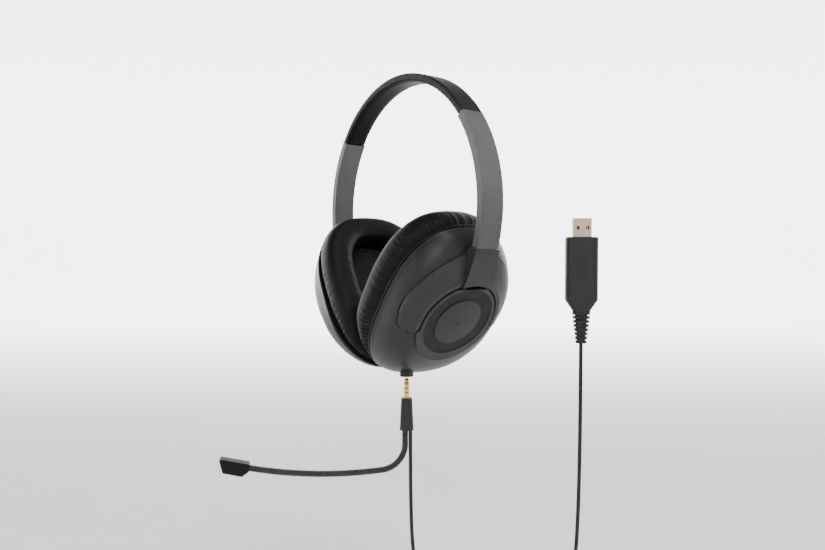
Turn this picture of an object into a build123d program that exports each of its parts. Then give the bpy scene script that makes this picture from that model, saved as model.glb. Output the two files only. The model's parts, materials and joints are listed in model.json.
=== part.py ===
from build123d import *

import os
from math import cos, pi, radians, sin, sqrt, tan

# Over-ear headset with a plug-in boom microphone and a USB cord. Millimetres.
# X runs from ear to ear (+X is the wearer's left), -Y is the wearer's front, +Z is up.
# The origin is where the underside of the head pad rests on the crown of the head.

# ---- Headband ----
BAND_RADIUS = 93.5            # outer face of the band
BAND_THICKNESS = 5.7
BAND_WIDTH = 17.1
PAD_INNER = BAND_RADIUS - BAND_THICKNESS
BAND_CENTRE_Z = -PAD_INNER
PAD_END = 38.0                # degrees above the ear line where crown and arm meet
ARM_END = -18.2               # degrees below the ear line where arm and yoke meet
CROWN_SWEEP = 180 - 2 * PAD_END
ARM_SWEEP = PAD_END - ARM_END
SPRING_INNER = 90.2
SPRING_OUTER = 91.0
SPRING_WIDTH = 14.0
SPRING_END = 27.0             # the spring strip reaches this far down inside each arm
CHANNEL_WIDTH = 14.4
COVER_WIDTH = 14.1
LEAD_DIAMETER = 0.9
ARM_COVER_OUTER = 89.2
ARM_SCREW_ANGLE = 33.5
ARM_SCREW_Y = 5.0

# ---- Size slider: a straight strip that slides in a straight slot in the curved arm ----
SLIDE_LEAN = 5.7              # degrees from the vertical
SEAM_X = 87.0                 # the strip's middle where it crosses the seam
SEAM_Z = -117.0
STRIP_LENGTH = 33.0
STRIP_WIDTH = 11.0
STRIP_THICKNESS = 1.2
SLOT_CLEARANCE = 0.15
STRIP_FOOT = (83.4, -125.6)   # X and Z of its bent lower end inside the yoke

# ---- Ear cup, in its own plane: level is the distance in from the disc face ----
CUP_TILT = 33.8
CUP_X = 59.6
CUP_Z = -164.1
PAD_GAP = 3.0                 # each cushion is pressed flat this far from the middle
RIM_LEVEL = 24.0
SHELL_WALL = 2.3
DISC_RADIUS = 25.8
CAP_RADIUS = 17.5
CAP_EDGE = 0.1                # how far the cap's edge and its middle stand out
CAP_CROWN = 0.8
BOSS_RADIUS = 31.5
BOSS_UPPER_RADIUS = 28.4
WING_INNER_RADIUS = 29.7
WING_OUTER_Y = 42.4
WING_OUTER_V = 44.6
WING_CENTRE_V = 4.0
WING_PROUD = 0.8
WING_END = 6.0                # the wings end this far below the pivots
WING_PRISM_FROM = -8.0
PIVOT_BLOCK_Y = (27.5, 42.0)  # the solid block round each pivot, in the shell
PIVOT_BLOCK_V = (-10.5, 8.5)
PIVOT_BLOCK_DEPTH = 15.2
PIN_FROM = 28.4               # each pin's ends, outwards from the cup's middle
PIN_TO = 37.9
WING_PRISM_TO = 18.0
WING_CLEARANCE = 0.5

# The yoke's underside round the cup's axis: radius and level where its slope starts and ends.
UNDERSIDE_FLAT = (33.5, 3.4)
UNDERSIDE_DEEP = (42.0, 10.4)
UNDERSIDE_REACH = 90.0
PIVOT_V = -1.0
PIVOT_LEVEL = 8.6
PIVOT_LUG_Y = 34.6
PIVOT_LUG_RADIUS = 4.0
PIVOT_LUG_THICKNESS = 3.2
PIN_RADIUS = 1.25
CUSHION_LEVEL = 27.0
CUSHION_FACE = 49.5
DRIVER_RADIUS = 20.0
STEM_HALF_WIDTH = 9.7
SCREW_POSTS = ((-35.2, 27.5), (35.2, 27.5), (-31.5, -40.0), (31.5, -40.0))

# Each row of the dome: level, half width, top, bottom, squareness of the outline.
DOME_ROWS = (
    (24.0, 45.5, 57.5, -61.5, 2.6),
    (15.0, 44.2, 54.5, -56.5, 2.5),
    (9.0, 42.6, 49.5, -50.5, 2.35),
    (4.5, 38.5, 41.5, -43.0, 2.2),
    (1.2, 32.5, 33.0, -33.5, 2.0),
)
OUTLINE_TAPER = 0.05          # the outline is this much narrower at its top
OUTLINE_POINTS = 12

# ---- Microphone unit, hanging on the socket's axis ----
JACK_X = 21.5
JACK_Y = -14.0
SOCKET_MOUTH_Z = -203.3
JACK_TIP_Z = -204.7
JACK_RADIUS = 1.75
JACK_LENGTH = 13.6
SOCKET_DEPTH = 15.0
SOCKET_RADIUS = 3.5
HOUSING_LENGTH = 22.0
FACE_TURN = 54.6              # degrees about Z from the X axis to the flat plugs' width
CORD_OFFSET = 2.6             # from the jack axis, along the housing's width
BOOM_OFFSET = -1.1
BOOM_HEADING = 246.5          # degrees about Z from +X: forward and a little inward
BOOM_RADIUS = 1.95
BOOM_DROP = 9.7
BOOM_BEND_RADIUS = 17.0
BOOM_BEND = 86.0
BOOM_SWEEP_RADIUS = 300.0
BOOM_SWEEP = 17.0
BOOM_JOINT_SHARE = 0.5        # the second joint's place along the long sweep
JOINT_GAP = 0.5
BALL_RADIUS = 1.2
BALL_CLEARANCE = 0.05
CAPSULE_WIDTH = 7.6
CAPSULE_OUTLINE = ((0.0, 3.3), (20.4, 3.3), (15.8, -5.3), (3.4, -5.5), (0.0, -1.9))

# ---- USB plug and cord ----
CORD_DIAMETER = 2.6
USB_X = 106.8
USB_Y = 64.0
USB_TOP_Z = -96.9
USB_SHELL_LENGTH = 12.0
USB_SHELL_WIDTH = 12.0
USB_SHELL_HEIGHT = 4.5
USB_SHELL_WALL = 0.3
USB_BODY_WIDTH = 20.6
USB_BODY_DEPTH = 9.6
USB_BODY_STRAIGHT = 40.7
USB_BODY_TAPER = 6.8
USB_NECK_WIDTH = 11.2
USB_BODY_WALL = 1.4
RELIEF_LENGTH = 21.1
RELIEF_RIBS = 7
HANK_Z = -347.0               # where both ends of the cord enter the hank
HANK_LENGTH = 76.0
HANK_HEIGHT = 30.0
HANK_THICKNESS = 11.0
HANK_RISE = 1.3               # the hank's top above the middle of the cord's ends

# Each hanging stretch: how far it has come in towards the hank, and its height.
MIC_CORD_HANG = ((0.0, -268.0), (0.4, -297.0), (1.4, -321.0), (4.2, -337.0), (10.4, -345.6))
USB_CORD_HANG = ((0.0, -215.0), (0.3, -255.0), (1.0, -290.0), (2.4, -318.0), (4.8, -336.0), (10.6, -345.4))

os.makedirs("parts", exist_ok=True)


def export(part, name):
    """Write one finished piece under its node's name."""
    part.label = name
    export_step(part, "parts/" + name + ".step")


def export_pair(part, name):
    """Write a left-hand piece and its mirror image."""
    export(part, "left_" + name)
    export(mirror(part, about=Plane.YZ), "right_" + name)


# ---------------------------------------------------------------- headband

def band_sector(inner, outer, start, sweep, width):
    """A stretch of the band between two radii; angles count up from the left ear line."""
    centre = (0, BAND_CENTRE_Z)
    with BuildPart() as sector:
        with BuildSketch(Plane.XZ):
            with BuildLine():
                outside = CenterArc(centre, outer, start, sweep)
                inside = CenterArc(centre, inner, start, sweep)
                Line(outside @ 0, inside @ 0)
                Line(outside @ 1, inside @ 1)
            make_face()
        extrude(amount=width / 2, both=True)
    return sector.part


def band_point(radius, angle, y=0.0):
    """A point on the band at a radius and an angle above the left ear line."""
    return (radius * cos(radians(angle)), y, BAND_CENTRE_Z + radius * sin(radians(angle)))


def radial_plane(radius, angle, y):
    """A plane on the left arm that faces the middle of the band."""
    inward = (-cos(radians(angle)), 0, -sin(radians(angle)))
    return Plane(origin=band_point(radius, angle, y), x_dir=(0, 1, 0), z_dir=inward)


def long_edges(part, radius):
    """The edges of a band sector that follow the band at one radius."""
    arcs = part.edges().filter_by(GeomType.CIRCLE)
    return arcs.filter_by(lambda edge: abs(edge.radius - radius) < 0.01)


left_screw_planes = [radial_plane(PAD_INNER, ARM_SCREW_ANGLE, y) for y in (-ARM_SCREW_Y, ARM_SCREW_Y)]
right_screw_planes = [radial_plane(PAD_INNER, 180 - ARM_SCREW_ANGLE, y) for y in (-ARM_SCREW_Y, ARM_SCREW_Y)]

with BuildPart() as spring_band:
    add(band_sector(SPRING_INNER, SPRING_OUTER, SPRING_END, 180 - 2 * SPRING_END, SPRING_WIDTH))
    for screw_plane in left_screw_planes + right_screw_planes:
        with BuildSketch(screw_plane):
            Circle(1.15)
        extrude(amount=-5, mode=Mode.SUBTRACT)
export(spring_band.part, "spring_band")

crown_channel = band_sector(80, SPRING_OUTER + 0.05, PAD_END - 1, CROWN_SWEEP + 2, CHANNEL_WIDTH)
crown_below = band_sector(80, 89.5, PAD_END - 1, CROWN_SWEEP + 2, 2 * BAND_WIDTH)
lead_groove = band_sector(SPRING_OUTER, SPRING_OUTER + 1.1, PAD_END - 1, CROWN_SWEEP + 2, 1.3)
with BuildPart() as crown_cover:
    add(band_sector(PAD_INNER, BAND_RADIUS, PAD_END, CROWN_SWEEP, BAND_WIDTH))
    fillet(long_edges(crown_cover.part, BAND_RADIUS), 1.2)
    add(crown_below, mode=Mode.SUBTRACT)
    add(crown_channel, mode=Mode.SUBTRACT)
    add(lead_groove, mode=Mode.SUBTRACT)
export(crown_cover.part, "crown_cover")

export(band_sector(89.5, SPRING_INNER - 0.05, PAD_END + 0.2, CROWN_SWEEP - 0.4, CHANNEL_WIDTH - 0.3),
       "pad_carrier")

with BuildPart() as head_pad:
    add(band_sector(PAD_INNER, 89.45, PAD_END, CROWN_SWEEP, BAND_WIDTH))
    fillet(long_edges(head_pad.part, PAD_INNER), 1.0)
export(head_pad.part, "head_pad")

lead_middle = SPRING_OUTER + 0.1 + LEAD_DIAMETER / 2
with BuildPart() as crossover_lead:
    with BuildLine():
        CenterArc((0, 0, 0), lead_middle, PAD_END, CROWN_SWEEP)
    with BuildSketch(Plane(origin=(lead_middle * cos(radians(PAD_END)),
                                   lead_middle * sin(radians(PAD_END)), 0),
                           z_dir=(-sin(radians(PAD_END)), cos(radians(PAD_END)), 0))):
        Circle(LEAD_DIAMETER / 2)
    sweep()
lead_solid = Plane(origin=(0, 0, BAND_CENTRE_Z), x_dir=(1, 0, 0), z_dir=(0, -1, 0))
export(lead_solid.from_local_coords(crossover_lead.part), "crossover_lead")

# ---------------------------------------------------------------- arms and size sliders

SLIDE_UP = (sin(radians(SLIDE_LEAN)), 0, cos(radians(SLIDE_LEAN)))
seam_plane = Plane(origin=(SEAM_X, 0, SEAM_Z), x_dir=(0, 1, 0), z_dir=SLIDE_UP)

with BuildPart() as strip_slot:
    with BuildSketch(seam_plane.offset(-4)):
        Rectangle(STRIP_WIDTH + 2 * SLOT_CLEARANCE, STRIP_THICKNESS + 2 * SLOT_CLEARANCE)
    extrude(amount=STRIP_LENGTH + 4.6)

cover_seat = band_sector(80, ARM_COVER_OUTER, ARM_END - 2, ARM_SWEEP + 4, CHANNEL_WIDTH)
spring_seat = band_sector(80, SPRING_OUTER + 0.05, SPRING_END - 0.4, 20, CHANNEL_WIDTH)

with BuildPart() as arm_shell:
    add(band_sector(PAD_INNER, BAND_RADIUS, ARM_END, ARM_SWEEP, BAND_WIDTH))
    fillet(long_edges(arm_shell.part, BAND_RADIUS), 0.9)
    add(cover_seat, mode=Mode.SUBTRACT)
    add(spring_seat, mode=Mode.SUBTRACT)
    add(strip_slot.part, mode=Mode.SUBTRACT)
    for screw_plane in left_screw_planes:
        with BuildSketch(screw_plane):
            Circle(0.9)
        extrude(amount=-4.9, mode=Mode.SUBTRACT)
export_pair(arm_shell.part, "arm_shell")

with BuildPart() as arm_cover:
    add(band_sector(PAD_INNER, ARM_COVER_OUTER - 0.05, ARM_END, SPRING_END - ARM_END, COVER_WIDTH))
    add(band_sector(PAD_INNER, SPRING_INNER - 0.05, SPRING_END, PAD_END - SPRING_END - 0.1, COVER_WIDTH))
    add(strip_slot.part, mode=Mode.SUBTRACT)
    for screw_plane in left_screw_planes:
        with BuildSketch(screw_plane):
            Circle(2.1)
        extrude(amount=-1.3, mode=Mode.SUBTRACT)
        with BuildSketch(screw_plane):
            Circle(1.15)
        extrude(amount=-3, mode=Mode.SUBTRACT)
    for step in range(8):
        notch_plane = radial_plane(PAD_INNER, 4 - 2.4 * step, 0)
        with BuildSketch(notch_plane):
            Rectangle(3.2, 0.7)
        extrude(amount=-0.3, mode=Mode.SUBTRACT)
export_pair(arm_cover.part, "arm_cover")

with BuildPart() as arm_screws:
    for screw_plane in left_screw_planes:
        with BuildSketch(screw_plane.offset(-1.25)):
            Circle(1.9)
        extrude(amount=1.0)
        with BuildSketch(screw_plane.offset(-1.25)):
            Circle(0.85)
        extrude(amount=-3.4)
        with BuildSketch(screw_plane.offset(-0.25)):
            Rectangle(2.2, 0.45)
            Rectangle(0.45, 2.2)
        extrude(amount=-0.5, mode=Mode.SUBTRACT)
export_pair(arm_screws.part, "arm_screws")

# ---------------------------------------------------------------- ear cup surfaces

tilt_sin = sin(radians(CUP_TILT))
tilt_cos = cos(radians(CUP_TILT))
CUP_OUT = (tilt_cos, 0, -tilt_sin)
cup_face = Plane(origin=(CUP_X, 0, CUP_Z), x_dir=(0, 1, 0), z_dir=CUP_OUT)


def outline_points(half_width, top, bottom, squareness):
    """Points of a rounded D: a superellipse that narrows a little towards its top."""
    middle = (top + bottom) / 2
    half_height = (top - bottom) / 2
    points = []
    for step in range(OUTLINE_POINTS):
        turn = 2 * pi * step / OUTLINE_POINTS
        across = abs(cos(turn)) ** (2 / squareness) * (1 if cos(turn) >= 0 else -1)
        along = abs(sin(turn)) ** (2 / squareness) * (1 if sin(turn) >= 0 else -1)
        taper = 1 - OUTLINE_TAPER * along * (squareness - 2) / 0.6
        points.append((half_width * across * taper, middle + half_height * along))
    return points


def dee(level, half_width, top, bottom, squareness=2.6):
    """The face of a rounded D outline at one level of the cup."""
    with BuildSketch(cup_face.offset(-level)) as face:
        with BuildLine():
            Spline(*outline_points(half_width, top, bottom, squareness), periodic=True)
        make_face()
    return face.sketch


def dome(sink=0.0, inset=0.0):
    """The cup's dome, sunk inwards and made smaller all round, as one closed solid."""
    with BuildPart() as solid:
        for level, half_width, top, bottom, squareness in DOME_ROWS:
            depth = level + sink if level < RIM_LEVEL else RIM_LEVEL + (0.5 if sink > 0 else 0)
            add(dee(depth, half_width - inset, top - inset, bottom + inset, squareness))
        loft()
    return solid.part


def slab(level_from, level_to, half_width, top, bottom, squareness=2.6):
    """A plate with the cup's outline between two levels."""
    with BuildPart() as plate:
        add(dee(level_to, half_width, top, bottom, squareness))
        extrude(amount=level_to - level_from, dir=CUP_OUT)
    return plate.part


def wing_footprint(inner_radius, grow):
    """The yoke's C round the disc, as a prism through the dome."""
    end_v = PIVOT_V - WING_END - grow
    with BuildPart() as prism:
        with BuildSketch(cup_face.offset(-WING_PRISM_TO)) as footprint:
            with Locations((0, WING_CENTRE_V)):
                Ellipse(WING_OUTER_Y + grow, WING_OUTER_V + grow)
            with Locations((0, end_v)):
                Rectangle(120, 80, align=(Align.CENTER, Align.MAX), mode=Mode.SUBTRACT)
            Circle(inner_radius, mode=Mode.SUBTRACT)
            fillet(footprint.vertices().filter_by_position(Axis.Y, end_v - 1, end_v + 1), 4.2 + grow)
        extrude(amount=WING_PRISM_TO - WING_PRISM_FROM)
    return prism.part


def above_underside(gap):
    """All that lies outward of the yoke's underside, moved inwards by a gap."""
    with BuildPart() as solid:
        with BuildSketch(Plane(origin=(CUP_X, 0, CUP_Z), x_dir=(0, 1, 0), z_dir=(tilt_sin, 0, tilt_cos))):
            with BuildLine():
                Polyline((0, WING_PRISM_FROM), (UNDERSIDE_REACH, WING_PRISM_FROM),
                         (UNDERSIDE_REACH, UNDERSIDE_DEEP[1] + gap),
                         (UNDERSIDE_DEEP[0], UNDERSIDE_DEEP[1] + gap),
                         (UNDERSIDE_FLAT[0], UNDERSIDE_FLAT[1] + gap),
                         (0, UNDERSIDE_FLAT[1] + gap), close=True)
            make_face()
        revolve(axis=Axis((CUP_X, 0, CUP_Z), CUP_OUT))
    return solid.part


def cup_box(y_from, y_to, v_from, v_to, level_from, level_to):
    """A box in the cup's own directions."""
    with BuildPart() as box:
        with BuildSketch(cup_face.offset(-level_to)):
            with Locations(((y_from + y_to) / 2, (v_from + v_to) / 2)):
                Rectangle(y_to - y_from, v_to - v_from)
        extrude(amount=level_to - level_from)
    return box.part


def cup_cylinder(y, v, radius, level_from, level_to):
    """A cylinder along the cup's axis."""
    with BuildPart() as cylinder:
        with BuildSketch(cup_face.offset(-level_to)):
            with Locations((y, v)):
                Circle(radius)
        extrude(amount=level_to - level_from)
    return cylinder.part


def pivot_cylinder(radius, y_from, y_to):
    """A cylinder along the tilt axis."""
    with BuildPart() as cylinder:
        with BuildSketch(Plane(origin=(pivot_x, y_from, pivot_z), x_dir=(1, 0, 0), z_dir=(0, 1, 0))):
            Circle(radius)
        extrude(amount=y_to - y_from)
    return cylinder.part


def upright_cylinder(x, y, radius, z_from, z_to):
    """A cylinder along Z."""
    with BuildPart() as cylinder:
        with BuildSketch(Plane.XY.offset(z_from)):
            with Locations((x, y)):
                Circle(radius)
        extrude(amount=z_to - z_from)
    return cylinder.part


pivot_x = CUP_X + PIVOT_V * tilt_sin - PIVOT_LEVEL * tilt_cos
pivot_z = CUP_Z + PIVOT_V * tilt_cos + PIVOT_LEVEL * tilt_sin
print("tilt axis through", pivot_x, pivot_z)

dome_skin = dome()
dome_lifted = dome_skin.translate(Vector(*CUP_OUT) * WING_PROUD)
dome_inside = dome(sink=5.9, inset=SHELL_WALL)

# ---------------------------------------------------------------- yoke

# The stem's side view lies in a plane whose first axis is the cup's up and second its level.
stem_plane = Plane(origin=(CUP_X, 0, CUP_Z), x_dir=(tilt_sin, 0, tilt_cos), z_dir=(0, -1, 0))


def in_stem_plane(point):
    """A point (x, z) of the band's plane, as (up, level) in the stem's plane."""
    x, z = point[0] - CUP_X, point[1] - CUP_Z
    return (x * tilt_sin + z * tilt_cos, -x * tilt_cos + z * tilt_sin)


def band_xz(radius, angle):
    """A point of the band as (x, z)."""
    return (radius * cos(radians(angle)), BAND_CENTRE_Z + radius * sin(radians(angle)))


seam_outer = in_stem_plane(band_xz(BAND_RADIUS, ARM_END - 0.2))
seam_inner = in_stem_plane(band_xz(PAD_INNER, ARM_END - 0.2))
stem_middle = in_stem_plane(band_xz(BAND_RADIUS, (ARM_END - CUP_TILT) / 2))
stem_tangent = in_stem_plane(band_xz(BAND_RADIUS, -CUP_TILT))
strip_top = (SEAM_X + STRIP_LENGTH * SLIDE_UP[0], SEAM_Z + STRIP_LENGTH * SLIDE_UP[2])


def strip_solid(width, thickness):
    """The slider strip: straight in the arm, bent a little where it enters the yoke."""
    with BuildPart() as strip:
        with BuildSketch(Plane.XZ):
            with BuildLine():
                Polyline(strip_top, (SEAM_X, SEAM_Z), STRIP_FOOT)
            trace(line_width=thickness)
        extrude(amount=width / 2, both=True)
    return strip.part


disc_bore = cup_cylinder(0, 0, WING_INNER_RADIUS, WING_PRISM_FROM, WING_PRISM_TO)
wing_plate = wing_footprint(WING_INNER_RADIUS, 0) & dome_lifted & above_underside(0)
with BuildPart() as stem:
    with BuildSketch(stem_plane):
        with BuildLine():
            ThreePointArc(seam_outer, stem_middle, stem_tangent)
            Polyline(stem_tangent, (24, stem_tangent[1]), (24, 10), (47, 10),
                     (seam_inner[0] - 2.2, seam_inner[1] + 1.4), seam_inner, seam_outer)
        make_face()
    extrude(amount=STEM_HALF_WIDTH, both=True)
    add(disc_bore, mode=Mode.SUBTRACT)
    add(above_underside(0), mode=Mode.INTERSECT)
    add(strip_solid(STRIP_WIDTH + 0.1, STRIP_THICKNESS + 0.1), mode=Mode.SUBTRACT)


def pivot_lug(middle_y):
    """The lug under a wing's end that turns on the pivot pin."""
    y_from = middle_y - PIVOT_LUG_THICKNESS / 2
    y_to = middle_y + PIVOT_LUG_THICKNESS / 2
    with BuildPart() as lug:
        add(pivot_cylinder(PIVOT_LUG_RADIUS, y_from, y_to))
        add(cup_box(y_from, y_to, PIVOT_V - PIVOT_LUG_RADIUS, PIVOT_V + PIVOT_LUG_RADIUS,
                    3.0, PIVOT_LEVEL))
        add(pivot_cylinder(PIN_RADIUS + 0.05, y_from - 1, y_to + 1), mode=Mode.SUBTRACT)
    return lug.part


with BuildPart() as yoke_fork:
    add(wing_plate)
    add([stem.part, pivot_lug(PIVOT_LUG_Y), pivot_lug(-PIVOT_LUG_Y)], clean=False)
export_pair(yoke_fork.part, "yoke_fork")

export_pair(strip_solid(STRIP_WIDTH, STRIP_THICKNESS), "slider_strip")

with BuildPart() as pivot_pins:
    add(pivot_cylinder(PIN_RADIUS, PIN_FROM, PIN_TO))
    add(pivot_cylinder(PIN_RADIUS, -PIN_TO, -PIN_FROM))
export_pair(pivot_pins.part, "pivot_pins")

# ---------------------------------------------------------------- ear cup

stem_groove = cup_box(-STEM_HALF_WIDTH - 0.8, STEM_HALF_WIDTH + 0.8, 26, 62, WING_PRISM_FROM, WING_PRISM_TO)
yoke_pocket = wing_footprint(BOSS_UPPER_RADIUS, WING_CLEARANCE) + stem_groove
yoke_pocket = yoke_pocket & above_underside(WING_CLEARANCE)
cavity = dome_inside
for side in (-1, 1):
    boss_y = sorted((side * PIVOT_BLOCK_Y[0], side * PIVOT_BLOCK_Y[1]))
    cavity = cavity - cup_box(boss_y[0], boss_y[1], PIVOT_BLOCK_V[0], PIVOT_BLOCK_V[1], 0, PIVOT_BLOCK_DEPTH)
for post_y, post_v in SCREW_POSTS:
    cavity = cavity - cup_cylinder(post_y, post_v, 3.6, 5, 30)
    cavity = cavity + cup_cylinder(post_y, post_v, 0.95, 14, 30)
socket_sleeve = upright_cylinder(JACK_X, JACK_Y, 4.7, SOCKET_MOUTH_Z, SOCKET_MOUTH_Z + 9.5)

with BuildPart() as cup_shell:
    add(dome_skin)
    with BuildSketch(cup_face.offset(-4)):
        Circle(BOSS_RADIUS)
    extrude(amount=4)
    add(yoke_pocket, mode=Mode.SUBTRACT)
    with BuildSketch(cup_face):
        Circle(DISC_RADIUS + 0.1)
    extrude(amount=-1.7, mode=Mode.SUBTRACT)
    for side in (-1, 1):
        slot_from = side * PIVOT_LUG_Y - PIVOT_LUG_THICKNESS / 2 - 0.4
        slot_to = side * PIVOT_LUG_Y + PIVOT_LUG_THICKNESS / 2 + 0.4
        add(cup_box(slot_from, slot_to, PIVOT_V - 7.0, PIVOT_V + 7.0, -2,
                    PIVOT_LEVEL + PIVOT_LUG_RADIUS + 0.4), mode=Mode.SUBTRACT)
        bore_y = sorted((side * 28.3, side * 38.1))
        add(pivot_cylinder(PIN_RADIUS + 0.05, bore_y[0], bore_y[1]), mode=Mode.SUBTRACT)
    add(cavity, mode=Mode.SUBTRACT)
export(mirror(cup_shell.part, about=Plane.YZ), "right_cup_shell")

with BuildPart() as left_cup_shell:
    add(cup_shell.part)
    add(socket_sleeve)
    add(upright_cylinder(JACK_X, JACK_Y, SOCKET_RADIUS + 0.05, SOCKET_MOUTH_Z - 1, SOCKET_MOUTH_Z + 20),
        mode=Mode.SUBTRACT)
export(left_cup_shell.part, "left_cup_shell")

with BuildPart() as audio_socket:
    add(upright_cylinder(JACK_X, JACK_Y, SOCKET_RADIUS, SOCKET_MOUTH_Z + 0.3,
                         SOCKET_MOUTH_Z + SOCKET_DEPTH + 1.2))
    add(upright_cylinder(JACK_X, JACK_Y, JACK_RADIUS + 0.05, SOCKET_MOUTH_Z - 1,
                         SOCKET_MOUTH_Z + SOCKET_DEPTH), mode=Mode.SUBTRACT)
export(audio_socket.part, "audio_socket")

with BuildPart() as trim_ring:
    with BuildSketch(cup_face.offset(-1.65)):
        Circle(DISC_RADIUS)
        Circle(CAP_RADIUS + 0.1, mode=Mode.SUBTRACT)
    extrude(amount=1.25)
export_pair(trim_ring.part, "trim_ring")

cap_crown_radius = (CAP_RADIUS ** 2 + (CAP_CROWN - CAP_EDGE) ** 2) / (2 * (CAP_CROWN - CAP_EDGE))
with BuildPart() as centre_cap:
    with BuildSketch(Plane(origin=(CUP_X, 0, CUP_Z), x_dir=(0, 1, 0), z_dir=(tilt_sin, 0, tilt_cos))):
        with BuildLine():
            RadiusArc((0, -CAP_CROWN), (CAP_RADIUS, -CAP_EDGE), -cap_crown_radius)
            Polyline((CAP_RADIUS, -CAP_EDGE), (CAP_RADIUS, 1.65), (0, 1.65), (0, -CAP_CROWN))
        make_face()
    revolve(axis=Axis((CUP_X, 0, CUP_Z), CUP_OUT))
export_pair(centre_cap.part, "centre_cap")

with BuildPart() as baffle:
    add(slab(RIM_LEVEL, RIM_LEVEL + 2.4, 43.8, 55.8, -59.8))
    add(cup_cylinder(0, 0, DRIVER_RADIUS - 1.5, 20, 30), mode=Mode.SUBTRACT)
    for post_y, post_v in SCREW_POSTS:
        add(cup_cylinder(post_y, post_v, 1.2, 20, 30), mode=Mode.SUBTRACT)
        add(cup_cylinder(post_y, post_v, 2.3, RIM_LEVEL + 1.2, 30), mode=Mode.SUBTRACT)
export_pair(baffle.part, "baffle")

with BuildPart() as cup_screws:
    for post_y, post_v in SCREW_POSTS:
        add(cup_cylinder(post_y, post_v, 2.1, RIM_LEVEL + 1.2, RIM_LEVEL + 2.3))
        add(cup_cylinder(post_y, post_v, 0.9, RIM_LEVEL - 7, RIM_LEVEL + 1.3))
export_pair(cup_screws.part, "cup_screws")

with BuildPart() as driver_frame:
    add(cup_cylinder(0, 0, DRIVER_RADIUS, 20.2, RIM_LEVEL))
    add(cup_cylinder(0, 0, 17.6, 21.6, RIM_LEVEL + 1), mode=Mode.SUBTRACT)
    add(cup_cylinder(0, 0, 9.0, 19, RIM_LEVEL), mode=Mode.SUBTRACT)
    with Locations(cup_face.offset(-20.9)):
        with PolarLocations(13.4, 6):
            Cylinder(1.9, 4, mode=Mode.SUBTRACT)
export_pair(driver_frame.part, "driver_frame")

with BuildPart() as driver_magnet:
    add(cup_cylinder(0, 0, 11.0, 15.4, 20.2))
    add(cup_cylinder(0, 0, 8.8, 20.2, 21.4))
export_pair(driver_magnet.part, "driver_magnet")

film_dome_radius = (9 ** 2 + 1.2 ** 2) / (2 * 1.2)
with BuildPart() as diaphragm:
    with BuildSketch(Plane(origin=(CUP_X, 0, CUP_Z), x_dir=(0, 1, 0), z_dir=(tilt_sin, 0, tilt_cos))):
        with BuildLine():
            RadiusArc((0, 23.6), (9, 22.4), film_dome_radius)
            ThreePointArc((9, 22.4), (13.2, 23.4), (17.5, 22.3))
            Line((17.5, 22.3), (17.5, 22.6))
            ThreePointArc((17.5, 22.6), (13.2, 23.7), (9, 22.7))
            RadiusArc((0, 23.9), (9, 22.7), film_dome_radius)
            Line((0, 23.9), (0, 23.6))
        make_face()
    revolve(axis=Axis((CUP_X, 0, CUP_Z), CUP_OUT))
export_pair(diaphragm.part, "driver_diaphragm")

export_pair(slab(26.45, 26.9, 30.0, 42.0, -40.5), "ear_screen")

middle_cut = Pos(PAD_GAP - 100, 0, -160) * Box(200, 200, 200)
with BuildPart() as ear_cushion:
    add(slab(CUSHION_LEVEL, CUSHION_FACE, 48.0, 58.0, -60.0))
    ear_side = ear_cushion.faces().sort_by(Axis((0, 0, 0), CUP_OUT))[0]
    fillet(ear_side.edges(), 9.0)
    add(slab(20, 60, 25.5, 38.0, -36.0), mode=Mode.SUBTRACT)
    add(middle_cut, mode=Mode.SUBTRACT)
export_pair(ear_cushion.part, "ear_cushion")

# ---------------------------------------------------------------- microphone unit

width_dir = (cos(radians(FACE_TURN)), sin(radians(FACE_TURN)), 0)
housing_top = JACK_TIP_Z - JACK_LENGTH
housing_bottom = housing_top - HOUSING_LENGTH


def jack_stack(rows, radius):
    """Cylinders on the jack's axis; each row is how far below the tip it starts and ends."""
    with BuildPart() as stack:
        for start, end in rows:
            add(upright_cylinder(JACK_X, JACK_Y, radius, JACK_TIP_Z - end, JACK_TIP_Z - start))
    return stack.part


with BuildPart() as jack_tip:
    with BuildSketch(Plane(origin=(JACK_X, JACK_Y, JACK_TIP_Z), x_dir=(1, 0, 0), z_dir=(0, -1, 0))):
        with BuildLine():
            Polyline((0, 0), (0.7, 0), (JACK_RADIUS, -1.3), (JACK_RADIUS, -1.9), (1.25, -2.5),
                     (JACK_RADIUS, -3.1), (JACK_RADIUS, -3.5), (0, -3.5), (0, 0))
        make_face()
    revolve(axis=Axis((JACK_X, JACK_Y, 0), (0, 0, 1)))
export(jack_tip.part, "jack_tip")
export(jack_stack(((4.1, 6.4), (7.0, 9.3)), JACK_RADIUS), "jack_rings")
export(jack_stack(((3.5, 4.1), (6.4, 7.0), (9.3, 9.9)), JACK_RADIUS - 0.08), "jack_insulators")
export(jack_stack(((9.9, JACK_LENGTH),), JACK_RADIUS), "jack_sleeve")


def turned_plane(x, y, z):
    """A level plane whose X runs along the width of the flat plugs."""
    return Plane(origin=(x, y, z), x_dir=width_dir, z_dir=(0, 0, 1))


with BuildPart() as plug_housing:
    with BuildSketch(turned_plane(JACK_X, JACK_Y, housing_bottom)):
        RectangleRounded(9.6, 7.0, 3.0)
    with BuildSketch(turned_plane(JACK_X, JACK_Y, housing_top)):
        RectangleRounded(7.6, 7.0, 3.0)
    loft()
export(plug_housing.part, "plug_housing")

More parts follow.
